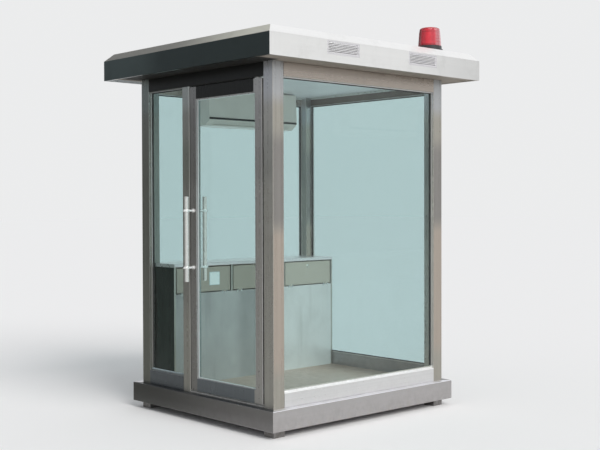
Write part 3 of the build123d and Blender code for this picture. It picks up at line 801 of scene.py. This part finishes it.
class BOOTH_OT_windows(bpy.types.Operator):
    """Glaze the fixed windows and lay their rubber gaskets"""

    bl_idname = "booth.windows"
    bl_label = "Fixed windows"

    def execute(self, context):
        sizes, colours = context.scene.booth_sizes, context.scene.booth_colours
        window_glass("window_glass", colours.pane, *[f"glass_{name}" for name in PANES])
        # Painted highlights: the lowest bead run is near-white by the large window and pale blue by the
        # sidelight.
        shine = {"right": (0.97, 0.98, 1.0), "sidelight": (0.45, 0.50, 0.52)}
        look = {"bands": 0.06, "roughness": 0.38, "dust": 0.1, "zones": self.sills(sizes, shine)}
        brushed_steel("bead_aluminium", colours.bead, Z, "glazing_beads", **look)
        # Painted light: the lowest gasket run is grey rather than black on those two sides.
        pale = {"right": (0.36, 0.38, 0.35), "sidelight": (0.36, 0.44, 0.47)}
        rubber = moulded("gasket_rubber", colours.rubber, roughness=0.6, zones=self.sills(sizes, pale))
        width, height, overlap = sizes.gasket_width, sizes.gasket_height, 3 * MM
        for name, out in PANES.items():
            side, box, thickness = face_of(f"glass_{name}", out)
            inside = shrunk(box, sizes.bead_width - overlap)
            behind = [(inwards, -thickness - out) for inwards, out in lip(width * 0.7, height * 0.5)]
            form = Form().ring(side, inside, lip(width, height)).ring(side, inside, behind)
            form.piece(f"gaskets_{name}", rubber, smooth=50)
        return {"FINISHED"}

    def sills(self, sizes, tones):
        """Zones of painted highlight: the lowest runs of bead and gasket, paler than the rest, on the two
        sides by the door.
        """
        zones, below, beside = [], 20 * MM, 30 * MM
        for name, axis, i in (("right", X, 0), ("sidelight", Y, 1)):
            low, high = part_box(f"glass_{name}")
            run = between(Z, low[2] - below, low[2] + sizes.bead_width + sizes.gasket_width, MM)
            zones.append((tones[name], run, between(axis, low[i] - beside, high[i] + beside)))
        return tuple(zones)


class BOOTH_OT_roof(bpy.types.Operator):
    """Finish the roof cap, soffit, ceiling and grilles, and add the ceiling's trim"""

    bl_idname = "booth.roof"
    bl_label = "Roof"

    def execute(self, context):
        sizes, colours = context.scene.booth_sizes, context.scene.booth_colours
        door_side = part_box("header_front")[0][1]
        door_shade_zone = (between(X, -0.80, 0.79, 0.04), between(Y, -2.0, door_side, 0.01))
        left = between(X, -2.0, -0.84, 0.04)
        left_tone, door_shade_tone = (0.33, 0.35, 0.365), (0.028, 0.028, 0.026)
        front, front_bevel = facing(-Y), facing((Z - Y).normalized())
        right, right_bevel = facing(X), facing((Z + X).normalized())
        below = facing(-Z)
        # Painted reflections and highlights: the front fascia near-black, paler at its left end; the right
        # fascia darker towards the back; the front bevel dark with a painted highlight towards the right; the
        # right bevel a white highlight; underneath the soffit's tone, bluer at the left end, with painted
        # shade over the door.
        zones = (
            (colours.fascia_painted_reflection, front),
            (tinted(colours.fascia_painted_reflection, 1.65), front, between(X, -2.0, -0.55, 0.4)),
            (tinted(colours.roof, 0.84), right, between(Y, 0.1, 3.0, 0.9)),
            ((0.20, 0.20, 0.18), front_bevel),
            ((0.68, 0.68, 0.60), front_bevel, between(X, -0.2, 3.0, 1.0)),
            (WHITE, right_bevel),
            (tinted(colours.soffit, 1.1), below),
            (left_tone, below, left),
            (door_shade_tone, below, *door_shade_zone),
        )
        look = {"metallic": 0.9, "bands": 0.015, "grime": 0.0, "runs": 0.04, "ripple": 0.2, "fine": 300.0}
        look.update(relief=0.012, sheen=0.03, roughness=0.3, patches=0.3, mark_scale=5.0)
        brushed_steel("roof_sheet", colours.roof, X, "roof_cap", level=True, zones=zones, **look)
        look = {"metallic": 0.1, "roughness": 0.7, "shine": 0.15}
        # Painted shade over the door; the left end bluer.
        look["zones"] = ((left_tone, left), (door_shade_tone, *door_shade_zone))
        painted_sheet("soffit_sheet", colours.soffit, "soffit", **look)
        painted_sheet("ceiling_sheet", colours.ceiling, "ceiling")
        look = {"metallic": 0.1, "roughness": 0.42, "runs": 0.0, "dust": 0.0}
        # Painted shade: the grille is darker on its faces towards the large window's side.
        look["zones"] = [(tinted(colours.grille, 0.6), right)]
        brushed_steel("grille_sheet", colours.grille, Y, "vent_grilles", **look)
        self.ceiling_trim(sizes)
        return {"FINISHED"}

    def ceiling_trim(self, sizes):
        """An angle along each header, under the ceiling's edge. The left one stops at the air conditioner."""
        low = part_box("ceiling")[0]
        post_low, post_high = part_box("post_front_right")
        air_low, air_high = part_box("ac_body")
        steel = brushed_steel("trim_steel", (0.82, 0.82, 0.80), Y, grime=0.0, bands=0.05)
        end_x, end_y, clear = post_low[0], -post_high[1], 4 * MM
        deep, sheet = sizes.ceiling_trim, sizes.sheet
        fold = sheet * 1.6
        leg, foot = ((0, 0), (0, deep), (-sheet, deep)), ((-deep, sheet), (-deep, 0))
        profile = (*leg, (-sheet, fold), (-fold, sheet), *foot)
        form = Form()
        for out, start, end in (
            (X, -end_y, end_y),
            (-X, -end_y, air_low[1] - clear),
            (-X, air_high[1] + clear, end_y),
            (Y, -end_x, end_x),
            (-Y, -end_x, end_x),
        ):
            side = face_of("ceiling", out)[0]
            form.bar(Side(side.origin + Z * low[2], -side.across), start, end, profile)
        form.piece("ceiling_trim", steel, slot="stainless")


class BOOTH_OT_beacon(bpy.types.Operator):
    """Build the beacon's fluted lens, its reflector and seal, and finish its base"""

    bl_idname = "booth.beacon"
    bl_label = "Beacon"

    def execute(self, context):
        colours = context.scene.booth_colours
        low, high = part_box("beacon_lens")
        middle, radius = ((low[0] + high[0]) / 2, (low[1] + high[1]) / 2), (high[0] - low[0]) / 2
        stand = Side((0, 0, low[2]), X, Y)
        moulded("beacon_base", colours.base, "beacon_base", roughness=0.42, coat=0.15)
        look = {"roughness": 0.15, "grime": 0.0, "dust": 0.0}
        bright = brushed_steel("lamp_metal", (0.8, 0.8, 0.79), Z, "beacon_lamp", **look)
        self.lens(stand, middle, radius, high[2] - low[2], colours)
        self.reflector(stand, middle, bright)
        self.seal(stand, middle, radius)
        return {"FINISHED"}

    def lens(self, stand, middle, radius, height, colours):
        """The lens: a fluted, tapered wall with a step and ring lines, and a rounded crown."""
        slope = math.tan(math.radians(4))
        wall, crown, ring = 3 * MM, 20 * MM, 108 * MM
        foot = radius - 1.2 * MM
        outside = [(radius, 0), (radius, 5 * MM), (foot, 6 * MM)]
        for line in (30 * MM, 54 * MM, 78 * MM):
            r = foot - line * slope
            outside += [(r, line - MM), (r + 0.7 * MM, line), (r, line + MM)]
        at_ring = foot - ring * slope
        step = at_ring - 1.6 * MM
        outside += [(at_ring, ring - MM), (step, ring + MM)]
        shoulder = step - (height - crown - ring) * slope
        steps = 7
        for i in range(steps + 1):
            turn = math.radians(90 * i / steps)
            r = shoulder - crown + crown * math.cos(turn)
            outside.append((r, height - crown + crown * math.sin(turn)))
        outside += [(shoulder * 0.45, height - 0.2 * MM), (0, height)]
        inside = [(max(r - wall, 0), max(out - (wall if r < shoulder else 0), 0)) for r, out in outside[2:]]
        inside = [(0, height - wall)] + [(r, out) for r, out in reversed(inside) if r > 0]
        inside += [(radius - wall, 0)]
        form = Form().turned(stand, middle, outside + inside, steps=144, flute=0.9 * MM)
        material = self.lens_finish(colours, stand.origin.z, stand.origin.z + height)
        lens = form.piece("lens", material, slot="beacon_red", smooth=25)
        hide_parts("beacon_lens")

    def lens_finish(self, colours, base, top):
        """Clear red, darker at its rings; painted shade where it turns away and on its front-left, painted
        highlights on its right.
        """
        material, shades, shader = new_finish("beacon_lens")
        skin = shades.effect("Moulded skin", Scale=300.0)
        dust = shades.mask("Settled dust", Amount=0.35)
        red = shades.varied(skin["Tone"], colours.lens, 0.1)
        # Painted shade: towards its outline the lens darkens to the rim colour.
        turned_away = shades.node("LayerWeight", {"Blend": 0.35}).outputs["Facing"]
        tones = shades.mix(shades.spread(turned_away, 0.1, 0.7), red, rgba(colours.lens_rim_painted_shade))
        shaded, painted_highlight_side = facing((-0.434, -0.900, 0)), facing((0.904, 0.426, 0))
        # Ring lines and foot darker; painted shade on the front-left, painted highlights on the right.
        zones = (
            ((0.62, 0.015, 0.03), between(Z, top - 17 * MM, top - 9 * MM, 2 * MM)),
            ((0.55, 0.012, 0.025), between(Z, top - 37 * MM, top - 30 * MM, 2 * MM)),
            ((0.45, 0.012, 0.025), between(Z, top - 1.0, base + 8 * MM, 14 * MM)),
            ((0.26, 0.004, 0.012), shaded),
            ((0.48, 0.06, 0.09), facing(X)),
            ((0.80, 0.45, 0.48), painted_highlight_side),
        )
        tones = zoned(shades, tones, zones, skin["Tone"], 0.1)
        values = {
            "Base Color": shades.mix(dust, tones, (0.8, 0.45, 0.42, 1)),
            "Roughness": shades.times_plus(skin["Tone"], 0.10, 0.12),
            "Transmission Weight": 0.25,
            "Coat Weight": 0.6,
            "IOR": 1.45,
        }
        shades.feed(shader, values)
        return material

    def reflector(self, stand, middle, bright):
        """A bright dish under the lamp."""
        inner, reach, foot, depth, steps = 31 * MM, 34 * MM, 4 * MM, 22 * MM, 6
        dish = [(inner + reach * i / steps, foot + depth * (i / steps) ** 2) for i in range(steps + 1)]
        under = [(r, out - 1.5 * MM) for r, out in reversed(dish)]
        form = Form().turned(stand, middle, [(inner, 2 * MM), *dish, *under], steps=48)
        form.piece("beacon_reflector", bright, slot="lamp_metal", smooth=50)

    def seal(self, stand, middle, radius):
        """A rubber seal between lens and base."""
        inner, top = radius - 5 * MM, 3 * MM
        bulge = ((radius + 1.6 * MM, -MM), (radius + 2.2 * MM, 1.4 * MM))
        form = Form().turned(stand, middle, ((inner, -MM), *bulge, (radius, top), (inner, top)), steps=72)
        form.piece("beacon_seal", bpy.data.materials["gasket_rubber"], slot="beacon_black", smooth=40)


class BOOTH_OT_door(bpy.types.Operator):
    """Finish the door, and add its beads, gaskets, seals and handle fittings"""

    bl_idname = "booth.door"
    bl_label = "Door"

    def execute(self, context):
        sizes, colours = context.scene.booth_sizes, context.scene.booth_colours
        low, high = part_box("door_frame")
        rail, stile, stile_and_stop = 88 * MM, 70 * MM, 86 * MM
        inner = between(X, low[0] + stile, high[0] - stile_and_stop, MM)
        lock_side, upper = between(X, low[0] - 1, low[0] + stile), between(Z, 1.60, 2.15, 0.15)
        # Painted reflections and shade: the frame darker high up and darker still on the lock stile; the
        # bottom rail in the door rail's painted shade and the top rail in the near-black head colour.
        zones = (
            (tinted(colours.leaf, 0.86), upper),
            (tinted(colours.leaf, 0.64), lock_side),
            (tinted(colours.leaf, 0.52), lock_side, upper),
            (colours.leaf_low_painted_shade, inner, between(Z, 0.0, low[2] + rail)),
            (colours.head, inner, between(Z, high[2] - rail, high[2] + rail)),
        )
        look = {"bands": 0.04, "grime": 0.1, "relief": 0.03}
        brushed_steel("door_steel", colours.leaf, Z, "door_frame", zones=zones, **look)
        window_glass("door_glass", colours.pane, "door_glass", film=0.02)
        brushed_steel("pivot_steel", (0.55, 0.55, 0.54), Z, "door_pivots")
        self.glazing(sizes)
        self.seals()
        self.handles(colours)
        return {"FINISHED"}

    def glazing(self, sizes):
        """A bead and a rubber lip round the glass on both faces, with a square stop on the pivots' side."""
        groove, wide, stop_width = 10 * MM, sizes.door_bead, 9 * MM
        steel = brushed_steel("door_bead_steel", (0.62, 0.64, 0.66), Z, bands=0.06, grime=0.1)
        clear = moulded("clear_seal", (0.66, 0.76, 0.75), roughness=0.35)
        back, middle, round_part, steps = -0.2 * MM, wide * 0.55, wide * 0.45, 4
        bead = [(back, 0), (back, wide)]
        for i in range(steps + 1):
            turn = math.radians(90 * i / steps)
            bead.append((middle + round_part * math.sin(turn), middle + round_part * math.cos(turn)))
        bead.append((wide, 0))
        rubber = lip(sizes.gasket_width * 0.7, sizes.gasket_height * 0.7)
        beads, lips = Form(), Form()
        for out in (-Y, Y):
            side, pane = face_of("door_glass", out)[:2]
            start, end, bottom, top = shrunk(pane, groove)
            if side.across[0] > 0:
                end -= stop_width
                stop = (end, end + stop_width)
            else:
                stop = (start, start + stop_width)
                start += stop_width
            section = ((stop[0], 0), (stop[0], wide), (stop[1], wide), (stop[1], 0))
            box = (start, end, bottom, top)
            beads.strip(side, bottom, top, section).ring(side, box, bead)
            lips.ring(side, shrunk(box, wide), rubber)
        beads.piece("door_beads", steel, body="door", slot="bead_aluminium", smooth=50)
        lips.piece("door_gaskets", clear, body="door", smooth=50)

    def seals(self):
        """Seals in the gaps round the leaf: on its lock edge, on the pivot post and under the header."""
        low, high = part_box("door_frame")
        depth, clear, past_pivots = (low[1] + high[1]) / 2, 4 * MM, 100 * MM
        lock_edge = Side((low[0], depth, 0), -Y)
        self.seal("lock_seal", lock_edge, low[2] + clear, high[2] - clear, 10 * MM, 3 * MM, body="door")
        post_edge = Side((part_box("post_front_right")[0][0], depth, 0), -Y)
        self.seal("pivot_seal", post_edge, low[2], high[2], 12 * MM, 4 * MM)
        under = Side((0, depth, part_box("header_front")[0][2]), Y, X)
        self.seal("head_seal", under, low[0], high[0] - past_pivots, 10 * MM, 5.5 * MM)

    def seal(self, name, side, start, end, width, height, body="booth"):
        """A straight strip with a rounded back."""
        half = width / 2
        section = ((-half, 0), (-half, height * 0.5), (-half * 0.6, height))
        section += tuple((-across, out) for across, out in reversed(section))
        rubber = bpy.data.materials["gasket_rubber"]
        Form().strip(side, start, end, section).piece(name, rubber, body=body, smooth=50)

    def handles(self, colours):
        """Polished handles with domed ends on the bars and standoffs, and a collar round the bar at each; a
        white painted highlight rings each bar at its standoffs.
        """
        low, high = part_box("handle_outside")
        from_middle, lift = 201.5 * MM, 9 * MM
        centres = [(low[2] + high[2]) / 2 + up for up in (-from_middle, from_middle)]
        look = {"roughness": 0.26, "metallic": 0.4, "grime": 0.0, "fine": 900.0, "relief": 0.03}
        # Painted highlight: the collars are near-white steel.
        bright = brushed_steel("collar_steel", (0.96, 0.96, 0.95), X, **look)
        # Painted highlight: a white band round each bar where its standoffs meet it.
        look["zones"] = [(WHITE, between(Z, up - lift, up + lift, MM)) for up in centres]
        polished = brushed_steel("handle_steel", colours.polished, Z, "handle_outside", **look)
        # Painted light: the inside handle is a paler, warmer copy of the polished steel.
        brushed_steel("handle_steel_inside_lit", (0.92, 0.84, 0.80), Z, "handle_inside", **look)
        radius, tip, reach, nub, collar = 15 * MM, 10 * MM, 60 * MM, 8 * MM, 16.6 * MM
        edge = radius * 0.93
        crown = ((radius * 0.7, 1.7 * MM), (radius * 0.35, 2.3 * MM), (0, 2.4 * MM))
        cap = ((edge, 0), (edge, 0.6 * MM), *crown)
        dome = ((nub * 0.95, 0), (nub * 0.9, 0.6 * MM), (nub * 0.6, 1.4 * MM), (0, 1.8 * MM))
        ring = ((radius - MM, -lift), (collar - 0.8 * MM, -lift), (collar, 1.4 * MM - lift))
        ring += tuple((r, -out) for r, out in reversed(ring))
        leaf_low_painted_shade, leaf_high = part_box("door_frame")
        for name, sign, face_y in (("outside", -1, leaf_low_painted_shade[1]), ("inside", 1, leaf_high[1])):
            low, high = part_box(f"handle_{name}")
            middle_x, bar_y = (low[0] + high[0]) / 2, face_y + sign * reach
            ends, collars = Form(), Form()
            ends.turned(Side((0, 0, high[2]), X, Y), (middle_x, bar_y), cap, steps=28)
            ends.turned(Side((0, 0, low[2]), X, -Y), (middle_x, -bar_y), cap, steps=28)
            out = Side((0, bar_y + sign * (radius + tip), 0), X * -sign)
            for up in centres:
                ends.turned(out, (middle_x * -sign, up), dome, steps=20)
                collars.turned(Side((0, 0, up), X, Y), (middle_x, bar_y), ring, steps=28)
            ends.piece(f"handle_ends_{name}", polished, body="door", slot="handle_steel", smooth=50)
            collars.piece(f"handle_collars_{name}", bright, body="door", slot="handle_steel", smooth=50)


class BOOTH_OT_desk(bpy.types.Operator):
    """Finish the desk and its flaps, and add locks, hinge screws and the plain card"""

    bl_idname = "booth.desk"
    bl_label = "Desk"

    def execute(self, context):
        sizes, colours = context.scene.booth_sizes, context.scene.booth_colours
        look = {"bands": 0.04, "grime": 0.0}
        brushed_steel("desk_top_steel", (0.84, 0.78, 0.79), Y, "desk_top", **look)
        # Painted shade: the carcass's end facing the door is near-black.
        end = (colours.desk_end_painted_shade, facing(-Y), between(Y, -2.0, -0.6))
        look = {"zones": [end], "bands": 0.08, "grime": 0.1}
        brushed_steel("desk_carcass_steel", (0.46, 0.44, 0.40), Z, "desk_carcass", **look)
        # Painted light on the panel: much paler further back, with a dimmer painted reflection just short of
        # the middle.
        far = (tinted(colours.desk_panel, 1.65), between(Y, -0.15, 2.0, 0.5))
        dim = (tinted(colours.desk_panel, 0.82), between(Y, -0.26, 0.0, 0.12))
        look = {"roughness": 0.3, "metallic": 0.15, "streaks": 0.3, "zones": (far, dim)}
        painted_sheet("desk_panel_sheet", tinted(colours.desk_panel, 1.06), "desk_panel", **look)
        look = {"bands": 0.02, "grime": 0.0, "runs": 0.0, "metallic": 0.6, "relief": 0.015, "sheen": 0.02}
        # Painted light: the back flap is a paler copy of the desk steel.
        for name, share in zip(FLAPS, (0.95, 0.95, 1.2)):
            brushed_steel(f"flap_steel_{name}", tinted(colours.desk, share), Y, f"flap_{name}", **look)
        look = {"roughness": 0.2, "grime": 0.0}
        brushed_steel("hinge_steel", (0.66, 0.66, 0.65), Y, "flap_hinges", **look)
        face = face_of("desk_panel", X)[0]
        self.locks(face)
        self.hinge_screws(face, sizes)
        self.card(face, sizes, colours)
        return {"FINISHED"}

    def locks(self, face):
        """A turned rose round each lock and a keyhole in it."""
        polished, dark = bpy.data.materials["handle_steel"], bpy.data.materials["gasket_rubber"]
        outer, inner, height, drop, steps = 15 * MM, 11.2 * MM, 1.8 * MM, 38 * MM, 28
        profile = ((inner, 0), (outer, 0), (outer, 0.8 * MM), (outer - 1.2 * MM, height), (inner, height))
        for name in FLAPS:
            low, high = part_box(f"flap_{name}")
            middle, body = ((low[1] + high[1]) / 2, high[2] - drop), f"{name}_flap"
            turns = [math.tau * i / steps for i in range(steps)]
            rings = [[face.around(middle, r, turn, out) for r, out in profile] for turn in turns]
            rose = Form().loft(rings, closed=True)
            rose.piece(f"lock_rose_{name}", polished, body=body, slot="handle_steel", smooth=40)
            keyhole = Form().plate(face, middle, (2.4 * MM, 10.6 * MM), 1.1 * MM, 3.4 * MM, 0.3 * MM, steps=3)
            keyhole.piece(f"keyhole_{name}", dark, body=body)

    def hinge_screws(self, face, sizes):
        """Domed screws: two in each hinge leaf on the flap, two in the leaf on the panel below."""
        steel = bpy.data.materials["hinge_steel"]
        radius, leaf = sizes.hinge_screw / 2, 1.5 * MM
        dome = ((radius * 0.7, leaf + 0.9 * MM), (radius * 0.3, leaf + 1.2 * MM), (0, leaf + 1.25 * MM))
        profile = ((radius, leaf - 0.2 * MM), (radius, leaf + 0.3 * MM), *dome)
        axis_z, from_middle, up, near, far = 871 * MM, 193.5 * MM, 9.5 * MM, 5 * MM, 17 * MM
        fixed = Form()
        for name in FLAPS:
            low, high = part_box(f"flap_{name}")
            middle = (low[1] + high[1]) / 2
            moving = Form()
            for hinge in (middle - from_middle, middle + from_middle):
                for form, across, screw_z in ((moving, near, axis_z + up), (fixed, far, axis_z - up)):
                    form.turned(face, (hinge - across, screw_z), profile, steps=10)
                    form.turned(face, (hinge + across, screw_z), profile, steps=10)
            moving.piece(f"flap_screws_{name}", steel, body=f"{name}_flap", slot="pivot_steel", smooth=40)
        fixed.piece("hinge_screws", steel, slot="pivot_steel", smooth=40)

    def card(self, face, sizes, colours):
        """A plain card in a clear pocket on the front flap."""
        paper = painted_sheet("card", colours.card, roughness=0.25, ripple=0.2, streaks=0.05)
        pocket = moulded("card_pocket", (0.55, 0.66, 0.70), roughness=0.2, coat=0.5)
        middle, margin, width, height = (-435.5 * MM, 968.5 * MM), 9 * MM, sizes.card_width, sizes.card_height
        form = Form().plate(face, middle, (width, height), 5 * MM, 1.2 * MM, 0.4 * MM)
        form.piece("card_pocket", pocket, body="front_flap")
        form = Form().plate(face, middle, (width - margin, height - margin), 3 * MM, 1.7 * MM, 0.3 * MM)
        form.piece("card", paper, body="front_flap")


class BOOTH_OT_air_conditioner(bpy.types.Operator):
    """Finish the air conditioner's casing and add its panel line, lip, intake slats and lamp window"""

    bl_idname = "booth.air_conditioner"
    bl_label = "Air conditioner"

    def execute(self, context):
        tone = context.scene.booth_colours.casing
        casing = moulded("ac_casing", tone, "ac_body", roughness=0.35, coat=0.3, pebble=0.03, dusty=0.1)
        dark = moulded("ac_dark", (0.012, 0.013, 0.013), roughness=0.6)
        moulded("ac_vane", tinted(tone, 0.9), "ac_vane", roughness=0.35)
        low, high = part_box("ac_body")
        middle, half = (low[1] + high[1]) / 2, (high[1] - low[1]) / 2
        brow, lean, lamp = 44 * MM, 8 * MM, (62 * MM, 9 * MM)
        front = Side((high[0], middle, 0), Y, (-lean, 0, high[2] - low[2] - brow))
        lower = Side((high[0], middle, low[2] + brow), Y, front.up)
        self.panel_line(lower, half - MM, casing, dark)
        self.intake(Side((0, middle, high[2]), X, Y), low[0], high[0], half - 60 * MM, dark)
        form = Form().plate(front, (half - 95 * MM, 84 * MM), lamp, 4 * MM, 1.2 * MM, 0.5 * MM)
        form.piece("ac_lamp_window", dark)
        return {"FINISHED"}

    def panel_line(self, side, half, casing, dark):
        """The line under the front panel, and the panel's proud lower lip."""
        gap = mm((3, -4), (3, -0.6), (8, 0.6), (19, 0.6), (19, -4))
        Form().bar(side, -half, half, gap).piece("ac_panel_gap", dark)
        edge = mm((19, -1), (19, 1.6), (20.5, 3), (23, 2.6), (28, -1))
        Form().bar(side, -half, half, edge).piece("ac_panel_lip", casing, slot="ac_plastic")

    def intake(self, top, start, end, half, dark):
        """Slats over the intake, on top of the casing."""
        form, count, first, reach = Form(), 14, 0.16, 0.62
        slat = mm((-2.4, -1), (-2, 1.2), (1, 1.6), (2.4, -1))
        for i in range(count):
            middle = start + (end - start) * (first + reach * i / (count - 1))
            form.strip(top, -half, half, [(middle + across, out) for across, out in slat])
        form.piece("ac_intake_slats", dark)


class BOOTH_PT_panel(bpy.types.Panel):
    """Lists the booth's steps, sizes and colours"""

    bl_idname = "BOOTH_PT_panel"
    bl_label = "Guard booth"
    bl_space_type = "VIEW_3D"
    bl_region_type = "UI"
    bl_category = "Guard booth"

    def draw(self, context):
        column = self.layout.column(align=True)
        for operator in OPERATORS:
            column.operator(operator.bl_idname)
        for group in (context.scene.booth_sizes, context.scene.booth_colours):
            fields = self.layout.column()
            for name in group.__annotations__:
                fields.prop(group, name)


OPERATORS = (
    BOOTH_OT_stage,
    BOOTH_OT_steelwork,
    BOOTH_OT_base,
    BOOTH_OT_windows,
    BOOTH_OT_roof,
    BOOTH_OT_beacon,
    BOOTH_OT_door,
    BOOTH_OT_desk,
    BOOTH_OT_air_conditioner,
)
CLASSES = (BoothSizes, BoothColours, *OPERATORS, BOOTH_PT_panel)


def register():
    for cls in CLASSES:
        bpy.utils.register_class(cls)
    bpy.types.Scene.booth_sizes = bpy.props.PointerProperty(type=BoothSizes)
    bpy.types.Scene.booth_colours = bpy.props.PointerProperty(type=BoothColours)


def unregister():
    del bpy.types.Scene.booth_colours
    del bpy.types.Scene.booth_sizes
    for cls in reversed(CLASSES):
        bpy.utils.unregister_class(cls)


def main():
    register()
    make_effects()
    bpy.ops.booth.stage()
    bpy.ops.booth.steelwork()
    bpy.ops.booth.base()
    bpy.ops.booth.windows()
    bpy.ops.booth.roof()
    bpy.ops.booth.beacon()
    bpy.ops.booth.door()
    bpy.ops.booth.desk()
    bpy.ops.booth.air_conditioner()


if __name__ == "__main__":
    main()
